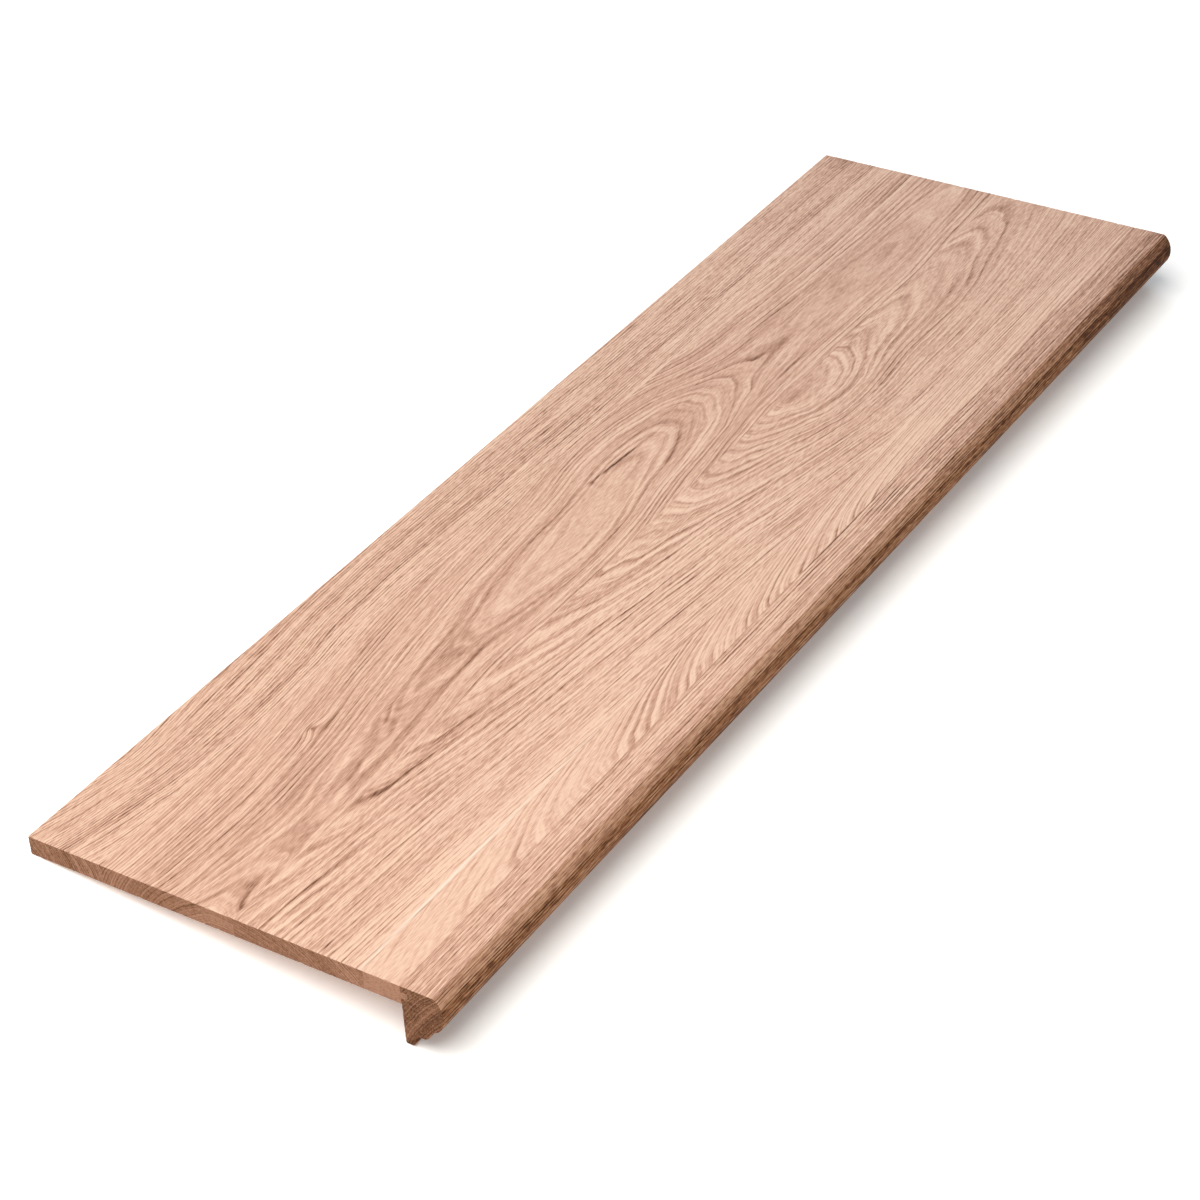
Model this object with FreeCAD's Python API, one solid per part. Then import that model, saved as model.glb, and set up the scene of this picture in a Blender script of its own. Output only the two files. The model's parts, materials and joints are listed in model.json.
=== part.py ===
"""Replacement stair tread in unfinished red oak.

A thin board, edge-glued from four staves, carries a moulded nosing along its front.
The nosing is glued on by a tongue and groove. It has a rounded nose, a bead and a cove,
and its foot hangs down in front of the old step.

Section points are (u, d): u runs forward from the board's back edge, d runs down from the
top face. The section is drawn level and then laid down as the tread lies on a floor, on the
board's back edge and the heel of the foot. X runs along the tread, the nose faces -Y and +Z
is up. The origin is on the floor, under the middle of the tread.
"""
import FreeCAD, Part
import math
import os

# Board, in millimetres
tread_length = 914.4
board_thickness = 12.7
back_stave_width = 52.0
heart_stave_width = 91.0
middle_stave_width = 85.6
front_stave_width = 23.9

# Tongue along the front stave, and its fit in the nosing's groove
tongue_shoulder = 4.6
tongue_thickness = 3.8
tongue_length = 3.9
tongue_tip_radius = 0.8
cheek_clearance = 0.1
tip_clearance = 1.0

# Nosing: round nose at the top, bead under it, cove down to the foot
nosing_top_width = 21.4
nose_bulge = 5.5
nose_height = 24.4
nose_crown_depth = 11.75
nose_undercut = 1.0
bead_reach = 16.65
bead_drop = 7.7
bead_radius = 5.0
cove_radius = 4.2
foot_drop = 7.7
foot_thickness = 6.2
toe_radius = 2.0

# Where the pieces meet, measured forward from the back edge
stave_widths = {
    "back_stave": back_stave_width,
    "heart_stave": heart_stave_width,
    "middle_stave": middle_stave_width,
    "front_stave": front_stave_width,
}
joint_u = sum(stave_widths.values())
bead_bottom = nose_height + bead_drop
foot_bottom = bead_bottom + foot_drop
DIAGONAL = math.sqrt(0.5)


def point(u, d):
    """Section point on the near end's plane, with the back edge's bottom corner at the origin."""
    return FreeCAD.Vector(-tread_length / 2, -u, board_thickness - d)


def line(start, end):
    return Part.LineSegment(point(*start), point(*end))


def quarter_round(start, centre, end):
    """Arc between two points that lie square to each other about its centre."""
    reach = (start[0] + end[0] - 2 * centre[0], start[1] + end[1] - 2 * centre[1])
    middle = (centre[0] + DIAGONAL * reach[0], centre[1] + DIAGONAL * reach[1])
    return Part.Arc(point(*start), point(*middle), point(*end))


def nose_round():
    """The nose's one arc, from the top edge round to the underside."""
    top_edge = (joint_u + nosing_top_width, 0)
    crown = (top_edge[0] + nose_bulge, nose_crown_depth)
    bottom_edge = (top_edge[0] - nose_undercut, nose_height)
    return Part.Arc(point(*top_edge), point(*crown), point(*bottom_edge))


def extruded(outline):
    """Solid of a closed section outline, run the tread's whole length."""
    face = Part.Face(Part.Wire([curve.toShape() for curve in outline]))
    return face.extrude(FreeCAD.Vector(tread_length, 0, 0))


def plain_stave(back_u, width):
    front_u = back_u + width
    corners = [(back_u, 0), (front_u, 0), (front_u, board_thickness), (back_u, board_thickness)]
    return extruded([line(a, b) for a, b in zip(corners, corners[1:] + corners[:1])])


def tongue():
    """Tongue along the joint, with its two tip corners rounded."""
    top = tongue_shoulder
    bottom = tongue_shoulder + tongue_thickness
    tip = joint_u + tongue_length
    radius = min(tongue_tip_radius, 0.45 * tongue_thickness, 0.9 * tongue_length)
    return extruded([
        line((joint_u, top), (tip - radius, top)),
        quarter_round((tip - radius, top), (tip - radius, top + radius), (tip, top + radius)),
        line((tip, top + radius), (tip, bottom - radius)),
        quarter_round((tip, bottom - radius), (tip - radius, bottom - radius), (tip - radius, bottom)),
        line((tip - radius, bottom), (joint_u, bottom)),
        line((joint_u, bottom), (joint_u, top)),
    ])


def nosing():
    """Moulded nosing: one section with its groove, nose, bead, cove and foot."""
    groove_top = tongue_shoulder - cheek_clearance
    groove_bottom = tongue_shoulder + tongue_thickness + cheek_clearance
    groove_end = joint_u + tongue_length + tip_clearance
    top_edge = (joint_u + nosing_top_width, 0)
    nose_bottom = (top_edge[0] - nose_undercut, nose_height)
    bead_u = joint_u + bead_reach
    bead_start = (bead_u, bead_bottom - bead_radius)
    bead_end = (bead_u - bead_radius, bead_bottom)
    foot_u = joint_u + foot_thickness
    cove_start = (foot_u + cove_radius, bead_bottom)
    cove_end = (foot_u, bead_bottom + cove_radius)
    toe_start = (foot_u, foot_bottom - toe_radius)
    toe_end = (foot_u - toe_radius, foot_bottom)
    return extruded([
        line((joint_u, 0), top_edge),
        nose_round(),
        line(nose_bottom, (bead_u, nose_height)),
        line((bead_u, nose_height), bead_start),
        quarter_round(bead_start, (bead_end[0], bead_start[1]), bead_end),
        line(bead_end, cove_start),
        quarter_round(cove_start, (cove_start[0], cove_end[1]), cove_end),
        line(cove_end, toe_start),
        quarter_round(toe_start, (toe_end[0], toe_start[1]), toe_end),
        line(toe_end, (joint_u, foot_bottom)),
        line((joint_u, foot_bottom), (joint_u, board_thickness)),
        line((joint_u, board_thickness), (joint_u, groove_bottom)),
        line((joint_u, groove_bottom), (groove_end, groove_bottom)),
        line((groove_end, groove_bottom), (groove_end, groove_top)),
        line((groove_end, groove_top), (joint_u, groove_top)),
        line((joint_u, groove_top), (joint_u, 0)),
    ])


def laid_down(shape):
    """Tip the level tread back until its back edge and the foot's heel are both on the floor."""
    heel = point(joint_u, foot_bottom)
    lie = FreeCAD.Rotation(FreeCAD.Vector(1, 0, 0), math.degrees(-math.atan2(-heel.z, -heel.y)))
    nose = nose_round().toShape().Curve
    front = lie.multVec(nose.Center).y - nose.Radius
    back = lie.multVec(point(0, 0)).y
    to_middle = FreeCAD.Vector(0, -(front + back) / 2, 0)
    return shape.transformed(FreeCAD.Placement(to_middle, lie).toMatrix())


def pieces():
    """Every piece of the tread by its node name, drawn level."""
    made = {}
    back_u = 0
    for name, width in stave_widths.items():
        made[name] = plain_stave(back_u, width)
        back_u += width
    made["front_stave"] = made["front_stave"].fuse(tongue()).removeSplitter()
    made["nosing"] = nosing()
    return made


os.makedirs("parts", exist_ok=True)
for name, piece in pieces().items():
    laid_down(piece).exportStep("parts/" + name + ".step")
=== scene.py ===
"""Looks of an unfinished red oak stair tread.

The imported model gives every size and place. Each stave, and the nosing, is swept again from its
own end outline, with eased and slightly torn ends, and is cut from red oak whose growth rings
are worked out from where the tree's pith would lie below that stave.

Places on the wood are given in millimetres as (x, u, d): x along the tread from the near end,
u forward from the back edge, d down from the top face.
"""
import json
import math

import bmesh
import bpy
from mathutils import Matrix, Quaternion, Vector


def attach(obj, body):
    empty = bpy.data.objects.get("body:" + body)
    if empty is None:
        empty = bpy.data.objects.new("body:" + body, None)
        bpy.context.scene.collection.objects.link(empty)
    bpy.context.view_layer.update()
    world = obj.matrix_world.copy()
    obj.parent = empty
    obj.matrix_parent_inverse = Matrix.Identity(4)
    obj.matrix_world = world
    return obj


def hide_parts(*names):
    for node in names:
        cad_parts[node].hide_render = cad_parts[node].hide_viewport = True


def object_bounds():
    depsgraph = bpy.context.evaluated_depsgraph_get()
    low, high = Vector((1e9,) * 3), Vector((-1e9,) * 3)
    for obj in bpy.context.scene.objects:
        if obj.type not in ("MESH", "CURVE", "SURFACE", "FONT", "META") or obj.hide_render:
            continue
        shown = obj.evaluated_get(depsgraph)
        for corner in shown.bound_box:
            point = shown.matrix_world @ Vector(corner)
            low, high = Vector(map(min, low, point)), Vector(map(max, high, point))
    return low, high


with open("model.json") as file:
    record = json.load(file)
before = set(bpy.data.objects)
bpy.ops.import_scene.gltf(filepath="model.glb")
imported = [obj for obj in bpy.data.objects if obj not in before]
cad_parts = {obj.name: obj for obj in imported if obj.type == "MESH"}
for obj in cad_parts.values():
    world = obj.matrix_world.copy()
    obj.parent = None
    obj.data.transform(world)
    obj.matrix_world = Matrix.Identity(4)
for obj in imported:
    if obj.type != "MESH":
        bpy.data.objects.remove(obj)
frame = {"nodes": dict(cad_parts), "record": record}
cad_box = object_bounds()

MM = 0.001
NODES = frame["nodes"]

# The tread's own directions and its near back top corner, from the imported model
mounts = {mount["name"]: mount for mount in frame["record"]["mounts"]}
ALONG = Vector((1, 0, 0))
FORWARD = -Vector(mounts["back_edge"]["axis"])
DOWN = Vector(mounts["underside"]["axis"])
TILT = math.atan2(FORWARD.z, FORWARD.y)
LENGTH = (cad_box[1].x - cad_box[0].x) / MM
board_levels = [vertex.co.dot(DOWN) for vertex in NODES["back_stave"].data.vertices]
top_level = min(board_levels)
back_middle = Vector(mounts["back_edge"]["pos_m"])
CORNER = back_middle + DOWN * (top_level - back_middle.dot(DOWN))
CORNER.x = cad_box[0].x

# Sawn ends and arrises: lengths in millimetres
MERGE_WITHIN = 0.001
OUTLINE_STEP = 0.9
GLUED_WITHIN = 0.15
ARRIS_RADIUS = 0.35
END_EASE = 0.18
CHIP_DEPTH = 1.1
CHIP_SIZE = 2.6

# A turn that counts as an arris, a turn that counts as none, and how far the middle of a rounded
# arris lies from its chord towards the old corner
SHARP_ANGLE = math.radians(16)
FLAT_ANGLE = math.radians(0.5)
ROUND_SHARE = 0.41

# Sections along a stick, and how strongly they crowd towards its ends
STATIONS = 40
CROWDING = 3.0

# Levels of the noise where a chip starts and where it is deepest, and how far apart in the noise
# the two ends of a stick lie
CHIP_FROM = 0.56
CHIP_FULL = 0.85
END_SHIFT = 7.0


def place(x, u, d):
    """Where a point of the wood is in the frame."""
    return CORNER + MM * (x * ALONG + u * FORWARD + d * DOWN)


def linear(code):
    """Linear colour of an sRGB hex value."""
    channels = [int(code[i:i + 2], 16) / 255 for i in (1, 3, 5)]
    return [c / 12.92 if c <= 0.04045 else ((c + 0.055) / 1.055) ** 2.4 for c in channels] + [1.0]


def add(tree, kind, inputs=None, stops=(), **settings):
    """Add a node with its settings and, for a colour ramp, its (place, hex) stops. Its inputs take
    a node, a socket or a plain value."""
    node = tree.nodes.new(kind)
    for key, value in settings.items():
        setattr(node, key, value)
    for key, value in (inputs or {}).items():
        if isinstance(value, bpy.types.Node):
            value = value.outputs[0]
        if isinstance(value, bpy.types.NodeSocket):
            tree.links.new(value, node.inputs[key])
        else:
            node.inputs[key].default_value = value
    if stops:
        colours = node.color_ramp.elements
        while len(colours) < len(stops):
            colours.new(0.5)
        for colour, (at, code) in zip(colours, stops):
            colour.position = at
            colour.color = linear(code)
    return node


# Section outlines, read from the near end of each CAD node

def end_outline(node):
    """Corners of a node's near end as (u, d) points in order."""
    mesh = bmesh.new()
    mesh.from_mesh(node.data)
    bmesh.ops.remove_doubles(mesh, verts=mesh.verts, dist=MERGE_WITHIN * MM)
    bmesh.ops.dissolve_limit(mesh, angle_limit=FLAT_ANGLE, verts=mesh.verts, edges=mesh.edges)
    end = min(mesh.faces, key=lambda face: face.calc_center_median().x)
    from_corner = [vertex.co - CORNER for vertex in end.verts]
    outline = [Vector((p.dot(FORWARD), p.dot(DOWN))) / MM for p in from_corner]
    mesh.free()
    area = sum(a.cross(b) for a, b in zip(outline, outline[1:] + outline[:1]))
    return outline if area > 0 else outline[::-1]


def distance_to(point, outline):
    """Distance from a section point to the nearest side of an outline."""
    nearest = math.inf
    for a, b in zip(outline, outline[1:] + outline[:1]):
        side = b - a
        share = max(0, min(1, (point - a).dot(side) / side.length_squared))
        nearest = min(nearest, (a + share * side - point).length)
    return nearest


def free_side(a, b, others):
    """True where a side of the section isn't glued to another piece."""
    middle = (a + b) / 2
    return all(distance_to(middle, outline) > GLUED_WITHIN for outline in others)


def rounded_points(outline, others):
    """The outline in short steps, with each corner between two free sides rounded."""
    points = []
    sides = list(zip(outline, outline[1:] + outline[:1]))
    free = [free_side(a, b, others) for a, b in sides]
    for i, (a, b) in enumerate(sides):
        before = (a - sides[i - 1][0]).normalized()
        after = (b - a).normalized()
        if free[i] and free[i - 1] and before.angle(after) > SHARP_ANGLE:
            reach = min(ARRIS_RADIUS, (b - a).length / 3, (a - sides[i - 1][0]).length / 3)
            start = a - before * reach
            end = a + after * reach
            points += [start, start.lerp(end, 0.5).lerp(a, ROUND_SHARE), end]
        else:
            end = a
            points.append(a)
        count = max(1, round((b - end).length / OUTLINE_STEP))
        points += [end.lerp(b, k / count) for k in range(1, count)]
    return points


def end_eases(points, others):
    """For each point, the way its end arris is eased: into the wood from the free sides, and never
    from a glued one."""
    eases = []
    for i, point in enumerate(points):
        ease = Vector((0, 0))
        for a, b in ((points[i - 1], point), (point, points[(i + 1) % len(points)])):
            if free_side(a, b, others):
                side = (b - a).normalized()
                inward = Vector((-side.y, side.x))
                if ease.length == 0 or ease.angle(inward) > SHARP_ANGLE:
                    ease += inward
        eases.append(ease)
    return eases


def section_object(name, outline, others):
    """A loop of edges in the plane x = 0, with its easing kept as a point attribute."""
    points = rounded_points(outline, others)
    eases = end_eases(points, others)
    mesh = bpy.data.meshes.new(name)
    flat = [place(0, p.x, p.y) * Vector((0, 1, 1)) for p in points]
    mesh.from_pydata(flat, [(i, (i + 1) % len(flat)) for i in range(len(flat))], [])
    ease = mesh.attributes.new("ease", "FLOAT_VECTOR", "POINT")
    for i, e in enumerate(eases):
        ease.data[i].vector = e.x * FORWARD + e.y * DOWN
    section = bpy.data.objects.new(name, mesh)
    bpy.context.scene.collection.objects.link(section)
    return section


# Sweeping a section along the tread

def sawn_stick_tree():
    """Geometry nodes that run a section from end to end and ease and chip its two sawn ends."""
    tree = bpy.data.node_groups.new("Sawn stick", "GeometryNodeTree")
    sockets = {
        "Section": "NodeSocketObject", "Half length": "NodeSocketFloat", "Stations": "NodeSocketInt",
        "End ease": "NodeSocketFloat", "Chip depth": "NodeSocketFloat", "Chip size": "NodeSocketFloat",
        "Seed": "NodeSocketFloat", "Wood": "NodeSocketMaterial",
    }
    for name, kind in sockets.items():
        tree.interface.new_socket(name=name, in_out="INPUT", socket_type=kind)
    tree.interface.new_socket(name="Stick", in_out="OUTPUT", socket_type="NodeSocketGeometry")
    given = add(tree, "NodeGroupInput").outputs

    # The section keeps its own place and its easing as it is swept
    section = add(tree, "GeometryNodeObjectInfo", {"Object": given["Section"]})
    profile = add(tree, "GeometryNodeCaptureAttribute", {"Geometry": section.outputs["Geometry"]})
    profile.capture_items.new("VECTOR", "Place")
    profile.capture_items.new("VECTOR", "Ease")
    ease = add(tree, "GeometryNodeInputNamedAttribute", {"Name": "ease"}, data_type="FLOAT_VECTOR")
    tree.links.new(add(tree, "GeometryNodeInputPosition").outputs[0], profile.inputs["Place"])
    tree.links.new(ease.outputs["Attribute"], profile.inputs["Ease"])
    loop = add(tree, "GeometryNodeMeshToCurve", {"Mesh": profile.outputs["Geometry"]})

    # Stations crowd towards both ends, where the easing is
    line = add(tree, "GeometryNodeCurvePrimitiveLine", {"Start": (-1, 0, 0), "End": (1, 0, 0)})
    line = add(tree, "GeometryNodeResampleCurve", {"Curve": line, "Count": given["Stations"]})
    at = add(tree, "ShaderNodeSeparateXYZ", {0: add(tree, "GeometryNodeInputPosition")})
    side = add(tree, "ShaderNodeMath", {0: at}, operation="SIGN")
    inner = add(tree, "ShaderNodeMath", {0: at}, operation="ABSOLUTE")
    inner = add(tree, "ShaderNodeMath", {0: 1.0, 1: inner}, operation="SUBTRACT")
    inner = add(tree, "ShaderNodeMath", {0: inner, 1: CROWDING}, operation="POWER")
    from_end = add(tree, "ShaderNodeMath", {0: inner, 1: given["Half length"]}, operation="MULTIPLY")
    along = add(tree, "ShaderNodeMath", {0: given["Half length"], 1: from_end}, operation="SUBTRACT")
    along = add(tree, "ShaderNodeMath", {0: along, 1: side}, operation="MULTIPLY")
    rail = add(tree, "GeometryNodeCaptureAttribute", {"Geometry": line})
    for name, value in (("Along", along), ("From end", from_end), ("Side", side)):
        rail.capture_items.new("FLOAT", name)
        tree.links.new(value.outputs[0], rail.inputs[name])

    stick = add(tree, "GeometryNodeCurveToMesh", {
        "Curve": rail.outputs["Geometry"], "Profile Curve": loop, "Fill Caps": True})

    # The saw leaves a small ease and now and then a chip along each end
    in_chips = add(tree, "ShaderNodeVectorMath", {0: profile.outputs["Place"]}, operation="SCALE")
    per_chip = add(tree, "ShaderNodeMath", {0: 1.0, 1: given["Chip size"]}, operation="DIVIDE")
    tree.links.new(per_chip.outputs[0], in_chips.inputs["Scale"])
    shift = add(tree, "ShaderNodeMath", {0: rail.outputs["Side"], 1: END_SHIFT, 2: given["Seed"]},
                operation="MULTIPLY_ADD")
    shift = add(tree, "ShaderNodeCombineXYZ", {"X": shift})
    in_chips = add(tree, "ShaderNodeVectorMath", {0: in_chips, 1: shift}, operation="ADD")
    chip = add(tree, "ShaderNodeTexNoise", {"Vector": in_chips, "Scale": 1.0, "Detail": 2.0})
    chip = add(tree, "ShaderNodeMapRange", {
        "Value": chip, "From Min": CHIP_FROM, "From Max": CHIP_FULL,
        "To Min": 0.0, "To Max": given["Chip depth"]})
    rim = add(tree, "ShaderNodeMath", {0: chip, 1: given["End ease"]}, operation="ADD")
    inset = add(tree, "ShaderNodeMapRange", {
        "Value": rail.outputs["From end"], "From Min": 0.0, "From Max": rim, "To Min": rim, "To Max": 0.0})
    moved = add(tree, "ShaderNodeVectorMath", {0: profile.outputs["Ease"]}, operation="SCALE")
    tree.links.new(inset.outputs[0], moved.inputs["Scale"])
    where = add(tree, "ShaderNodeVectorMath", {0: profile.outputs["Place"], 1: moved}, operation="ADD")
    ahead = add(tree, "ShaderNodeCombineXYZ", {"X": rail.outputs["Along"]})
    where = add(tree, "ShaderNodeVectorMath", {0: where, 1: ahead}, operation="ADD")
    stick = add(tree, "GeometryNodeSetPosition", {"Geometry": stick, "Position": where})

    stick = add(tree, "GeometryNodeRealizeInstances", {"Geometry": stick})
    stick = add(tree, "GeometryNodeSetMaterial", {"Geometry": stick, "Material": given["Wood"]})
    add(tree, "NodeGroupOutput", {"Stick": stick})
    return tree


def swept_piece(name, section, tree, seed, wood):
    """The stick as a plain mesh object at the origin, standing for its CAD node."""
    piece = bpy.data.objects.new(name + "_wood", bpy.data.meshes.new(name + "_wood"))
    bpy.context.scene.collection.objects.link(piece)
    sizes = {
        "Section": section, "Half length": LENGTH / 2 * MM, "Stations": STATIONS,
        "End ease": END_EASE * MM, "Chip depth": CHIP_DEPTH * MM, "Chip size": CHIP_SIZE * MM,
        "Seed": seed, "Wood": wood,
    }
    sweep = piece.modifiers.new("Sweep", "NODES")
    sweep.node_group = tree
    for socket in tree.interface.items_tree:
        if socket.in_out == "INPUT":
            sweep[socket.identifier] = sizes[socket.name]
    evaluated = piece.evaluated_get(bpy.context.evaluated_depsgraph_get())
    made = bpy.data.meshes.new_from_object(evaluated)
    piece.modifiers.remove(sweep)
    piece.data = made
    mesh = bmesh.new()
    mesh.from_mesh(made)
    bmesh.ops.recalc_face_normals(mesh, faces=mesh.faces)
    for face in mesh.faces:
        face.smooth = True
    mesh.to_mesh(made)
    mesh.free()
    made.set_sharp_from_angle(angle=SHARP_ANGLE)
    return piece


# Red oak. Each stave's grain, in millimetres: where the pith lies across and below it along the
# length, as (x, u) and (x, depth) pairs; the ring width; how strongly rings and pores show; how
# dark the wood is and how much darker its ends; how far the rings wander; whether its sides were
# moulded; darker and paler zones of rings, as (radius, darkness) pairs, which on the nosing are
# painted shade on the lower nose; swirls that push the rings aside, as (x, u, half length, half
# width, push); marks that darken or pale the wood, as (x, u, half length, half width, turn in
# degrees, darkness), the first of the nosing's being painted shade towards its far end; calm
# patches, given like marks, with how far the rings fade there, or grow where that is below 0; and
# pale lines of glue, given like marks, with how much they cover.

GRAIN = {
    "back_stave": {
        "pith_across": [(0, -58), (60, -48), (110, -44), (200, -47), (320, -54), (600, -50), (914, -46)],
        "pith_depth": [(0, 50), (914, 50)],
        "ring": 1.7, "contrast": 1.7, "pores": 1.4, "tone": -0.02, "end_tone": 0.05, "wander": 1.4,
        "zones": [(60, 0.05), (74, 0.0), (84, 0.06), (90, 0.0), (98, 0.12), (103, -0.03), (115, -0.05)],
        "swirls": [(80, -5, 110, 50, -10)],
        "marks": [(150, 36, 170, 1.6, 0, 0.15), (520, 40, 230, 1.6, 0.7, 0.15), (914, 16, 50, 40, 0, 0.25)],
        "calm": [(920, 25, 480, 90, 0, 0.6)],
    },
    "heart_stave": {
        "pith_across": [(0, 134), (100, 131), (265, 112), (400, 107), (530, 96), (600, 102), (630, 105),
                        (680, 107), (775, 110), (850, 109), (914, 107)],
        "pith_depth": [(0, 45.0), (25, 47.5), (60, 48.8), (92, 49.4), (120, 49.2), (165, 48.8), (265, 46.8),
                       (330, 43.6), (400, 42.4), (470, 43.0), (537, 46.8), (565, 50.4), (590, 54),
                       (630, 57.2), (680, 58.2), (735, 58.5), (770, 58.6), (800, 58.9), (830, 59.3),
                       (860, 59.8), (914, 60.6)],
        "ring": 1.8, "contrast": 1.1, "pores": 1.0, "tone": 0.03, "end_tone": -0.01, "wander": 1.2,
        "zones": [(40, -0.12), (46, -0.11), (46.9, 0.17), (47.8, 0.09), (49.6, 0.07),
                  (50.3, 0.04), (51.8, -0.04), (53.4, -0.02), (54.6, 0.04), (57, -0.03), (60, 0.02),
                  (65, 0.0), (69.8, 0.0), (71, 0.15), (72.6, 0.12), (74, -0.05), (95, -0.06)],
        "swirls": [(155, 81, 18, 9, -3)],
        "marks": [(155, 81, 7, 5, 0, 0.6), (479, 86.8, 62, 2.4, 4.2, 1.1), (450, 86, 6, 5, 0, 0.4),
                  (848, 88, 8, 3, 0, 0.25), (885, 91, 32, 8, 0, -0.15), (842, 112, 28, 9, 0, -0.1),
                  (768, 110, 60, 16, 0, -0.1), (30, 128, 60, 16, 0, -0.16), (236, 112, 46, 12, 0, -0.28),
                  (136, 130, 28, 7, -4, -0.25), (186, 110, 18, 7, 0, -0.18)],
        "calm": [(30, 128, 80, 20, 0, 0.7), (400, 107, 260, 34, -4, 1.0), (552, 97, 70, 44, 0, 0.6),
                 (768, 110, 120, 34, 0, 1.0), (842, 112, 40, 12, 0, 0.8)],
    },
    "middle_stave": {
        "pith_across": [(0, 128), (200, 134), (400, 140), (590, 143), (640, 147), (690, 152), (740, 155),
                        (800, 156), (914, 155)],
        "pith_depth": [(0, 99), (115, 96.5), (200, 93.5), (300, 89.8), (375, 86), (440, 82.5), (470, 79),
                       (500, 75.4), (530, 71.8), (555, 68.2), (580, 64.6), (610, 61.5), (640, 63),
                       (660, 65.5), (690, 68.5), (747, 70.3), (795, 72.1), (827, 73.9), (860, 75.7),
                       (892, 77.5), (914, 78.7)],
        "ring": 1.8, "contrast": 1.0, "pores": 1.25, "tone": -0.01, "end_tone": 0.04, "wander": 0.9,
        "zones": [(60, 0.1), (63, 0.05), (65, -0.04), (67.8, -0.03), (68.6, 0.18), (69.4, -0.02),
                  (70, -0.03), (70.5, 0.08), (71.2, -0.03), (71.8, -0.03), (72.3, 0.08), (73, -0.03),
                  (73.6, -0.03), (74.1, 0.08), (74.8, -0.03), (75.4, -0.03), (75.9, 0.08), (76.6, -0.03),
                  (77.2, -0.03), (77.7, 0.08), (78.6, 0.0), (90, 0.0)],
        "swirls": [],
        "marks": [(125, 204.5, 135, 1.1, 2.1, 0.25), (7, 201, 9, 2.6, -5, 0.6),
                  (80, 222, 380, 20, 0, -0.28), (606, 147, 30, 8, 0, 0.3), (914, 176, 60, 18, 0, 0.18),
                  (678, 149, 18, 7, 0, 0.3), (750, 151, 18, 7, 0, 0.22), (833, 154, 18, 7, 0, 0.22),
                  (862, 154, 16, 7, 0, 0.18)],
        "glue": [(85, 226.9, 250, 2.2, 0, 1.0)],
        "calm": [(900, 165, 480, 110, 0, 0.65), (505, 148, 100, 32, 0, 0.6), (615, 150, 64, 26, 0, 1.0),
                 (390, 195, 260, 60, 0, -0.5)],
    },
    "front_stave": {
        "pith_across": [(0, 257), (914, 257)],
        "pith_depth": [(0, 64), (60, 61), (200, 50.5), (330, 39), (450, 27), (550, 18), (700, 14.5),
                       (914, 12.5)],
        "ring": 1.35, "contrast": 1.4, "pores": 0.95, "tone": -0.05, "end_tone": -0.12, "wander": 0.9,
        "zones": [(10, 0.0), (50, 0.0), (60, -0.05), (80, -0.05)],
        "swirls": [],
        "marks": [(-20, 240, 400, 60, 0, -0.12), (25, 232.3, 34, 1.8, -10.4, 0.35),
                  (620, 241, 230, 26, 0, -0.2), (900, 241, 130, 26, 0, 0.14)],
        "calm": [(-20, 240, 400, 60, 0, 1.0)],
    },
    "nosing": {
        "pith_across": [(0, 340), (914, 340)],
        "pith_depth": [(0, 76), (914, 76)],
        "ring": 1.6, "contrast": 1.1, "pores": 1.2, "tone": 0.11, "end_tone": 0.14, "wander": 0.8,
        "moulded": 1.0,
        # On the nosing these zones are painted shade that darkens the lower nose front.
        "zones": [(70, 0.1), (86, 0.11), (88.3, 0.12), (91.4, 0.13), (94, -0.04), (98, 0.0), (130, 0.0)],
        "swirls": [],
        # The first of these marks is painted shade, darker towards the far end of the nosing.
        "marks": [(920, 276, 480, 30, 0, 0.3), (255, 260, 330, 20, 0, -0.22)],
        "calm": [(520, 262, 300, 34, 0, -0.9)],
    },
}

# Bare red oak by how dark it is: sanded faces, sides as the cutters left them and darkened with painted
# shade, sawn ends
SANDED = [(0.0, "#DDBAA2"), (0.3, "#C89E88"), (0.6, "#A97F68"), (0.8, "#875D46"), (1.0, "#543523")]
MOULDED_AND_SHADED = [(0.0, "#BD9374"), (0.3, "#A5744F"), (0.6, "#805030"), (0.8, "#613719"), (1.0, "#3E200C")]
SAWN = [(0.0, "#A77B63"), (0.3, "#8C6248"), (0.6, "#6A4329"), (0.8, "#502E18"), (1.0, "#351D11")]
GLUE = "#E6D3C2"
MEAN_DARKNESS = 0.3

# Patterns in the wood: millimetres along, across and into it. Real pores are about 0.3 mm wide,
# and torn grain is finer than this too: both are drawn coarser, so that they show.
WANDER_SIZE = (150, 22, 22)
STEADY_SIZE = (70, 6, 6)
CLOUD_SIZE = (240, 40, 40)
PORE_SIZE = (6, 0.55, 0.55)
TORN_SIZE = (9, 2.2, 2.2)

# Patterns that follow the rings: millimetres along the wood, and years of growth. The dashes are
# rows of pores, drawn longer than they are, so that they show.
LINE_SIZE = (300, 0.65, 1)
BAND_SIZE = (600, 3.3, 1)
DASH_SIZE = (45, 0.26, 1)

# Darkness through one year, from its porous early wood to its plain late wood, and its mean
EARLY_WOOD = [(0.0, 0.2), (0.1, 1.0), (0.3, 0.6), (0.55, 0.1), (1.0, 0.0)]
EARLY_MEAN = 0.16
WEAKEST_YEAR = 0.4
FAINTEST_STRETCH = 0.3

# The noise lies between these levels nearly everywhere
NOISE_LOW = 0.25
NOISE_MEAN = 0.5
NOISE_HIGH = 0.75

# How far the grain wanders, in millimetres, and how much each pattern darkens the wood
WANDER_REACH = 4
EARLY_STRENGTH = 0.55
LINE_STRENGTH = 0.5
BAND_STRENGTH = 0.15
DASH_STRENGTH = 0.9
PORE_STRENGTH = 0.9
CLOUD_STRENGTH = 0.2

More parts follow.
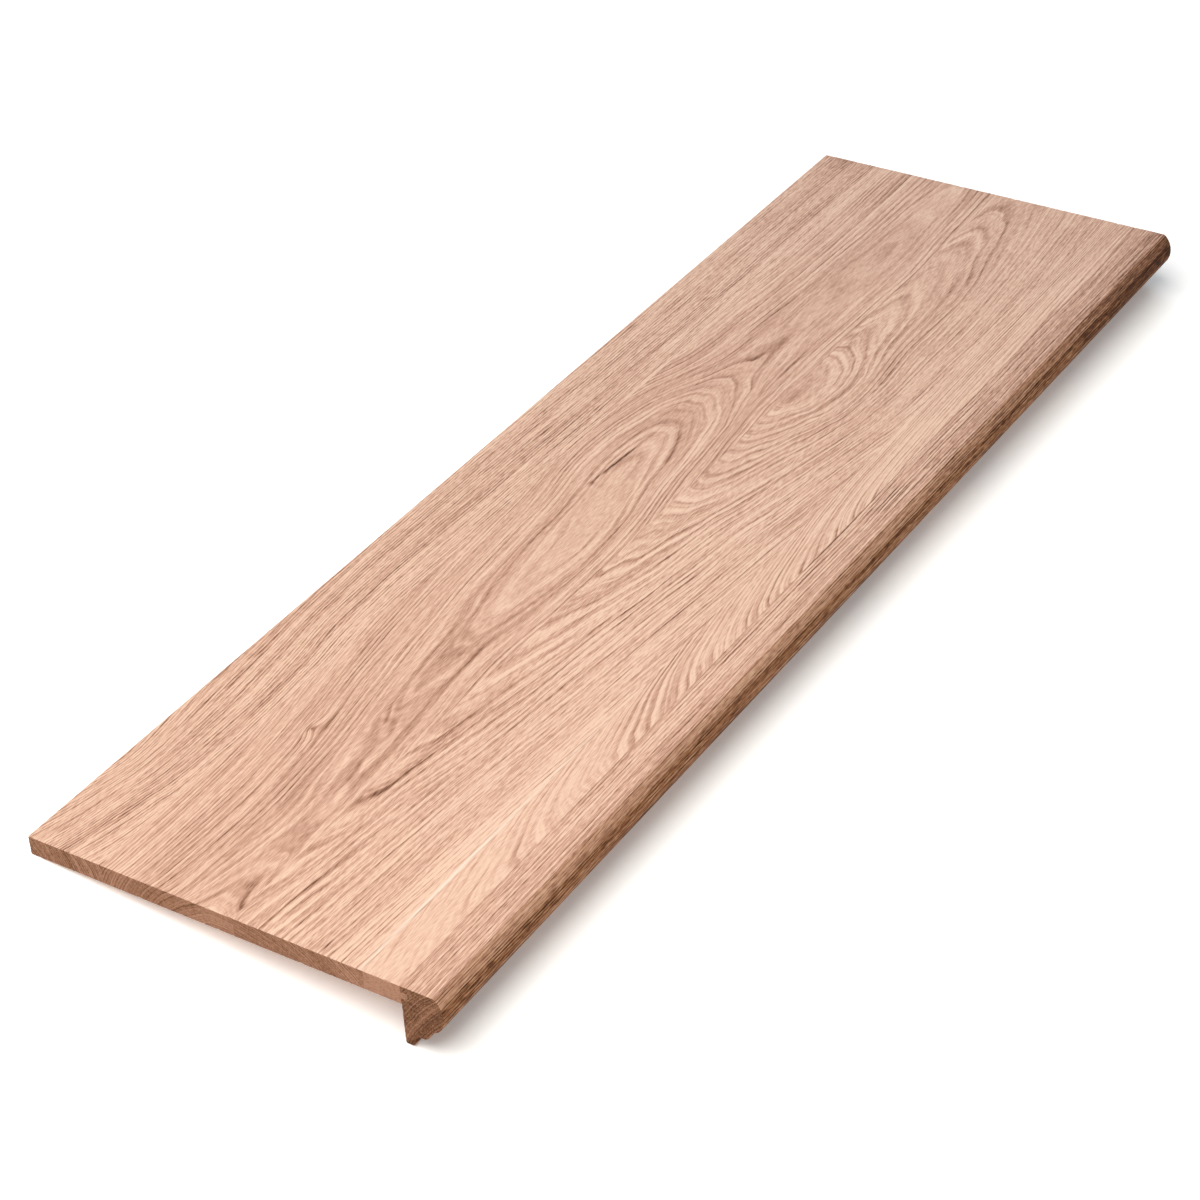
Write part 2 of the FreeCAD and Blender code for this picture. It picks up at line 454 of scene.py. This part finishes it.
# Share of moulded wood by depth below the top face, which past the arris keeps rising down the nose as
# painted shade, and the ends by how far a face turns along x
MOULDED_AND_SHADE_BY_DEPTH = [(0.05, 0.0), (0.3, 0.55), (3.0, 0.64), (8.0, 1.0), (10.0, 1.0)]
END_FROM = 0.4
END_FULL = 0.8

# Roughness of sanded wood, what pores and cutting add to it, and the relief of the grain
SANDED_ROUGHNESS = 0.5
PORE_ROUGHNESS = 0.15
CUT_ROUGHNESS = 0.4
RELIEF_STRENGTH = 0.3
PORE_DEPTH = 0.2

# Sockets of a colour mix, which have the same names as its other kinds' sockets
SHARE, FIRST, SECOND = 0, 6, 7
MIXED = 2


def pattern(tree, wood, sizes, seed, **inputs):
    """Noise stretched to these sizes along, across and into the wood."""
    scaled = add(tree, "ShaderNodeVectorMath", {0: wood, 1: sizes}, operation="DIVIDE")
    shift = (seed, 2 * seed, 3 * seed)
    shifted = add(tree, "ShaderNodeVectorMath", {0: scaled, 1: shift}, operation="ADD")
    return add(tree, "ShaderNodeTexNoise", {"Vector": shifted, "Scale": 1.0, **inputs})


def spot(tree, wood, x, u, half_length, half_width, turn):
    """1 at a place on the wood, falling to 0 at the edge of a long patch round it."""
    patch = add(tree, "ShaderNodeMapping", {
        "Vector": wood, "Location": (x, u, 0), "Rotation": (0, 0, math.radians(turn)),
        "Scale": (half_length, half_width, 2 * half_length)}, vector_type="TEXTURE")
    return add(tree, "ShaderNodeTexGradient", {"Vector": patch}, gradient_type="QUADRATIC_SPHERE")


def along_curve(tree, value, points):
    """A value drawn as a smooth curve through (place, height) points."""
    first, last = points[0][0], points[-1][0]
    heights = [height for at, height in points]
    low = min(heights)
    span = max(heights) - low or 1.0
    share = add(tree, "ShaderNodeMapRange", {"Value": value, "From Min": first, "From Max": last})
    curve = add(tree, "ShaderNodeFloatCurve", {"Value": share})
    shape = curve.mapping.curves[0].points
    places = [((at - first) / (last - first), (height - low) / span) for at, height in points]
    shape[0].location, shape[1].location = places[0], places[-1]
    for at in places[1:-1]:
        shape.new(*at)
    curve.mapping.update()
    return add(tree, "ShaderNodeMath", {0: curve, 1: span, 2: low}, operation="MULTIPLY_ADD")


def ring_radius(tree, wood, bent, grain):
    """Distance of the bent grain from the pith, with the push of the swirls."""
    along = add(tree, "ShaderNodeSeparateXYZ", {0: wood}).outputs["X"]
    across = along_curve(tree, along, grain["pith_across"])
    depth = along_curve(tree, along, grain["pith_depth"])
    pith = add(tree, "ShaderNodeCombineXYZ", {"X": along, "Y": across, "Z": depth})
    apart = add(tree, "ShaderNodeVectorMath", {0: bent, 1: pith}, operation="DISTANCE")
    radius = apart.outputs["Value"]
    for *where, push in grain["swirls"]:
        patch = spot(tree, wood, *where, turn=0)
        radius = add(tree, "ShaderNodeMath", {0: patch, 1: push, 2: radius}, operation="MULTIPLY_ADD")
    return radius


def ring_lines(tree, wood, radius, grain, seed):
    """How much darker the rings make the wood: each year's porous early wood, stronger in some
    years and some stretches, and finer lines that follow the rings."""
    years = add(tree, "ShaderNodeMath", {0: radius, 1: grain["ring"]}, operation="DIVIDE")
    phase = add(tree, "ShaderNodeMath", {0: years}, operation="FRACT")
    year = add(tree, "ShaderNodeMath", {0: years}, operation="FLOOR")
    early = along_curve(tree, phase, EARLY_WOOD)
    vigour = add(tree, "ShaderNodeTexWhiteNoise", {"W": year}, noise_dimensions="1D")
    vigour = add(tree, "ShaderNodeMath", {0: vigour, 1: 1 - WEAKEST_YEAR, 2: WEAKEST_YEAR},
                 operation="MULTIPLY_ADD")
    early = add(tree, "ShaderNodeMath", {0: early, 1: vigour}, operation="MULTIPLY")
    steady = pattern(tree, wood, STEADY_SIZE, seed + 2, Detail=1.0)
    steady = add(tree, "ShaderNodeMapRange", {
        "Value": steady, "From Min": NOISE_LOW, "From Max": NOISE_HIGH, "To Min": FAINTEST_STRETCH})
    early = add(tree, "ShaderNodeMath", {0: early, 1: steady}, operation="MULTIPLY")

    along = add(tree, "ShaderNodeSeparateXYZ", {0: wood}).outputs["X"]
    row = add(tree, "ShaderNodeCombineXYZ", {"X": along, "Y": years})
    lines = pattern(tree, row, LINE_SIZE, seed + 1, Detail=1.0)
    bands = pattern(tree, row, BAND_SIZE, seed + 3, Detail=1.0)
    dashes = pattern(tree, row, DASH_SIZE, seed + 4, Detail=1.0)
    layers = [
        (early, EARLY_STRENGTH * grain["contrast"], EARLY_MEAN),
        (lines, LINE_STRENGTH * grain["contrast"], NOISE_MEAN),
        (bands, BAND_STRENGTH, NOISE_MEAN),
        (dashes, DASH_STRENGTH * grain["pores"], NOISE_MEAN),
    ]
    rings = -sum(strength * mean for layer, strength, mean in layers)
    for layer, strength, mean in layers:
        rings = add(tree, "ShaderNodeMath", {0: layer, 1: strength, 2: rings}, operation="MULTIPLY_ADD")
    for *where, amount in grain["calm"]:
        patch = spot(tree, wood, *where)
        calm = add(tree, "ShaderNodeMath", {0: patch, 1: -amount, 2: 1.0}, operation="MULTIPLY_ADD")
        rings = add(tree, "ShaderNodeMath", {0: rings, 1: calm}, operation="MULTIPLY")
    return rings


def zones_and_marks(tree, wood, radius, grain, seed):
    """How much darker the zones of rings, slow clouds of tone and single marks make the wood. On the
    nosing, its zones and its first mark are painted shade.
    """
    clouds = pattern(tree, wood, CLOUD_SIZE, seed + 9, Detail=2.0)
    dark = along_curve(tree, radius, grain["zones"])
    dark = add(tree, "ShaderNodeMath", {0: clouds, 1: CLOUD_STRENGTH, 2: dark}, operation="MULTIPLY_ADD")
    level = grain["tone"] - CLOUD_STRENGTH * NOISE_MEAN
    dark = add(tree, "ShaderNodeMath", {0: dark, 1: level}, operation="ADD")
    for *where, darkness in grain["marks"]:
        patch = spot(tree, wood, *where)
        dark = add(tree, "ShaderNodeMath", {0: patch, 1: darkness, 2: dark}, operation="MULTIPLY_ADD")
    return dark


def face_tones(tree, rings, streaks, torn, end_tone):
    """Colours of sanded faces, moulded sides darkened with painted shade, and sawn ends, each with
    its own share of rings, streaks and torn spots."""
    shares = (
        (1.0, 1.0, 0.0, MEAN_DARKNESS, SANDED),
        (1.2, 1.2, 1.0, MEAN_DARKNESS, MOULDED_AND_SHADED),
        (0.7, 0.9, 0.6, MEAN_DARKNESS + end_tone, SAWN),
    )
    tones = []
    for ring_share, streak_share, torn_share, level, stops in shares:
        dark = add(tree, "ShaderNodeMath", {0: rings, 1: ring_share, 2: level}, operation="MULTIPLY_ADD")
        dark = add(tree, "ShaderNodeMath", {0: streaks, 1: streak_share, 2: dark}, operation="MULTIPLY_ADD")
        dark = add(tree, "ShaderNodeMath", {0: torn, 1: torn_share, 2: dark}, operation="MULTIPLY_ADD")
        tones.append(add(tree, "ShaderNodeValToRGB", {"Fac": dark}, stops).outputs["Color"])
    return tones


def face_colour(tree, wood, tones, moulded, sawn, glue_lines):
    """One colour for the piece: moulded sides, darkened with painted shade, over sanded faces, then glue,
    then the sawn ends.
    """
    sanded_tone, moulded_and_shaded_tone, sawn_tone = tones
    glue = linear(GLUE)
    side = add(tree, "ShaderNodeMix", {SHARE: moulded, FIRST: sanded_tone, SECOND: moulded_and_shaded_tone},
               data_type="RGBA").outputs[MIXED]
    for *where, amount in glue_lines:
        patch = spot(tree, wood, *where)
        cover = add(tree, "ShaderNodeMath", {0: patch, 1: amount}, operation="MULTIPLY")
        side = add(tree, "ShaderNodeMix", {SHARE: cover, FIRST: side, SECOND: glue},
                   data_type="RGBA").outputs[MIXED]
    return add(tree, "ShaderNodeMix", {SHARE: sawn, FIRST: side, SECOND: sawn_tone},
               data_type="RGBA").outputs[MIXED]


def bare_red_oak(name, grain, seed):
    """Red oak, sanded on both faces and left bare: dull and pinkish tan. Each year's ring starts
    with a dark porous line, short dark pores run along the grain, the moulded sides are browner
    and darker down the nose as painted shade, and the sawn ends darker and dotted."""
    material = bpy.data.materials.new("Red oak, sanded and bare, " + name.replace("_", " "))
    material.use_nodes = True
    tree = material.node_tree
    tree.nodes.clear()
    here = add(tree, "ShaderNodeTexCoord").outputs["Object"]
    wood = add(tree, "ShaderNodeMapping", {
        "Vector": here, "Location": CORNER, "Rotation": (TILT, 0, 0), "Scale": (MM, MM, MM)},
        vector_type="TEXTURE")

    # The grain wanders up, down and to both sides of a straight line
    wander = pattern(tree, wood, WANDER_SIZE, seed, Detail=2.0).outputs["Color"]
    middle = (NOISE_MEAN, NOISE_MEAN, NOISE_MEAN)
    wander = add(tree, "ShaderNodeVectorMath", {0: wander, 1: middle}, operation="SUBTRACT")
    reach = WANDER_REACH * grain["wander"]
    bent = add(tree, "ShaderNodeVectorMath", {0: wander, 1: (0, reach, reach), 2: wood},
               operation="MULTIPLY_ADD")

    radius = ring_radius(tree, wood, bent, grain)
    rings = ring_lines(tree, wood, radius, grain, seed)
    dark = zones_and_marks(tree, wood, radius, grain, seed)
    rings = add(tree, "ShaderNodeMath", {0: rings, 1: dark}, operation="ADD")

    # Single pores along the grain
    pores = pattern(tree, bent, PORE_SIZE, seed, Detail=1.0)
    streaks = add(tree, "ShaderNodeMath", {0: pores, 1: NOISE_MEAN}, operation="SUBTRACT")
    strength = PORE_STRENGTH * grain["pores"]
    streaks = add(tree, "ShaderNodeMath", {0: streaks, 1: strength}, operation="MULTIPLY")

    # Short dark spots where the cutters and the saw tore the grain
    torn = pattern(tree, bent, TORN_SIZE, seed + 5, Detail=2.0)
    torn = add(tree, "ShaderNodeMath", {0: torn, 1: NOISE_MEAN}, operation="SUBTRACT")

    # Where the wood was moulded or sawn, and not sanded. Down the nose the moulded share also paints shade.
    depth = add(tree, "ShaderNodeSeparateXYZ", {0: wood}).outputs["Z"]
    moulded = along_curve(tree, depth, MOULDED_AND_SHADE_BY_DEPTH)
    moulded = add(tree, "ShaderNodeMath", {0: moulded, 1: grain.get("moulded", 0.0)}, operation="MULTIPLY")
    normal = add(tree, "ShaderNodeNewGeometry").outputs["Normal"]
    facing = add(tree, "ShaderNodeSeparateXYZ", {0: normal}).outputs["X"]
    facing = add(tree, "ShaderNodeMath", {0: facing}, operation="ABSOLUTE")
    sawn = add(tree, "ShaderNodeMapRange", {"Value": facing, "From Min": END_FROM, "From Max": END_FULL})
    tones = face_tones(tree, rings, streaks, torn, grain["end_tone"])
    colour = face_colour(tree, wood, tones, moulded, sawn, grain.get("glue", []))

    # Bare wood hardly shines, and least where it was cut and not sanded
    cut = add(tree, "ShaderNodeMath", {0: moulded, 1: sawn}, operation="MAXIMUM")
    relief = add(tree, "ShaderNodeMath", {0: rings, 1: streaks}, operation="ADD")
    rough = add(tree, "ShaderNodeMath", {0: relief, 1: PORE_ROUGHNESS, 2: SANDED_ROUGHNESS},
                operation="MULTIPLY_ADD")
    rough = add(tree, "ShaderNodeMath", {0: cut, 1: CUT_ROUGHNESS, 2: rough}, operation="MULTIPLY_ADD")
    height = add(tree, "ShaderNodeMath", {0: relief, 1: -1.0}, operation="MULTIPLY")
    bump = add(tree, "ShaderNodeBump", {
        "Height": height, "Strength": RELIEF_STRENGTH, "Distance": PORE_DEPTH * MM})
    shader = add(tree, "ShaderNodeBsdfPrincipled", {
        "Base Color": colour, "Roughness": rough, "Specular IOR Level": 0.3, "Normal": bump, "IOR": 1.5})
    add(tree, "ShaderNodeOutputMaterial", {"Surface": shader})
    return material


# The pieces. Their grain and their chips lie this far apart in the noise.

GRAIN_SHIFT = 3.7
CHIP_SHIFT = 11.3


def make_tread():
    """Sweep the four staves and the nosing, each in its own wood, in place of their CAD nodes."""
    outlines = {name: end_outline(node) for name, node in NODES.items()}
    tree = sawn_stick_tree()
    for number, name in enumerate(sorted(outlines), start=1):
        others = [outline for other, outline in outlines.items() if other != name]
        section = section_object(name + "_section", outlines[name], others)
        wood = bare_red_oak(name, GRAIN[name], GRAIN_SHIFT * number)
        piece = swept_piece(name, section, tree, CHIP_SHIFT * number, wood)
        bpy.data.objects.remove(section)
        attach(piece, "root")
        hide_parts(name)


# Floor, light and camera. The floor is in metres, its mottle in millimetres, and the camera's
# eye and aim are places on the wood.

FLOOR_HALF = 6.0
PAPER = [(0.3, "#F8F8F7"), (0.7, "#FAFAF9")]
# The paper's own glow is painted light that lifts the shadows on it.
PAPER_GLOW = 0.2
MOTTLE_SIZE = 5 / 3
ROOM_LIGHT = 0.15
EYE = (-940.2, 1032.8, -1089.9)
AIM = (342.3, 159.4, 0)
ROLL = math.radians(2.93)
SENSOR_WIDTH = 36
FOCAL_LENGTH = 94.13


def paper_floor():
    """White matt paper with a hardly seen mottle, which glows a little as painted light so that shadows on
    it stay light.
    """
    material = bpy.data.materials.new("Matt white paper with a painted glow")
    material.use_nodes = True
    tree = material.node_tree
    tree.nodes.clear()
    here = add(tree, "ShaderNodeTexCoord").outputs["Object"]
    size = MOTTLE_SIZE * MM
    paper = add(tree, "ShaderNodeMapping", {"Vector": here, "Scale": (size, size, size)},
                vector_type="TEXTURE")
    mottle = add(tree, "ShaderNodeTexNoise", {"Vector": paper, "Scale": 1.0})
    tint = add(tree, "ShaderNodeValToRGB", {"Fac": mottle}, PAPER)
    shader = add(tree, "ShaderNodeBsdfPrincipled", {
        "Base Color": tint, "Roughness": 0.9, "Emission Color": (1, 1, 1, 1),
        "Emission Strength": PAPER_GLOW})
    add(tree, "ShaderNodeOutputMaterial", {"Surface": shader})
    mesh = bpy.data.meshes.new("floor")
    corners = [(-1, -1), (1, -1), (1, 1), (-1, 1)]
    mesh.from_pydata([(FLOOR_HALF * x, FLOOR_HALF * y, 0) for x, y in corners], [], [(0, 1, 2, 3)])
    mesh.materials.append(material)
    floor = bpy.data.objects.new("floor", mesh)
    bpy.context.scene.collection.objects.link(floor)


def soft_light(name, position, aim, size, power, tint):
    """A square soft box turned to a place on the tread."""
    lamp = bpy.data.lights.new(name, "AREA")
    lamp.color = linear(tint)[:3]
    lamp.shape = "SQUARE"
    lamp.size = size
    lamp.energy = power
    light = bpy.data.objects.new(name, lamp)
    light.location = position
    light.rotation_mode = "QUATERNION"
    light.rotation_quaternion = (Vector(aim) - Vector(position)).to_track_quat("-Z", "Y")
    bpy.context.scene.collection.objects.link(light)


def studio():
    """A pale room, a large key light over the near end, a weak warm fill in front of the nose and
    a cool panel past the far end."""
    world = bpy.data.worlds.new("Soft studio")
    world.use_nodes = True
    sky = world.node_tree.nodes["Background"].inputs
    sky["Color"].default_value = (1, 1, 1, 1)
    sky["Strength"].default_value = ROOM_LIGHT
    bpy.context.scene.world = world
    bpy.context.scene.view_settings.view_transform = "Standard"
    soft_light("key", position=(-1.0, 0.25, 1.95), aim=(-0.3, 0, 0), size=2.2, power=72, tint="#FFFDF9")
    soft_light("front fill", position=(-0.9, -1.8, 0.8), aim=(-0.1, 0, 0), size=1.6, power=3,
               tint="#FFEFDF")
    soft_light("back panel", position=(1.8, 0.85, 1.1), aim=(0.3, 0, 0), size=1.5, power=11,
               tint="#D7EFFF")


def camera():
    """The photo's view: high over the near end, a little from the nose side."""
    lens = bpy.data.cameras.new("camera")
    lens.sensor_width = SENSOR_WIDTH
    lens.lens = FOCAL_LENGTH
    view = bpy.data.objects.new("camera", lens)
    eye = place(*EYE)
    towards = place(*AIM) - eye
    view.location = eye
    view.rotation_mode = "QUATERNION"
    view.rotation_quaternion = towards.to_track_quat("-Z", "Y") @ Quaternion((0, 0, 1), ROLL)
    bpy.context.scene.collection.objects.link(view)
    bpy.context.scene.camera = view


make_tread()
paper_floor()
studio()
camera()
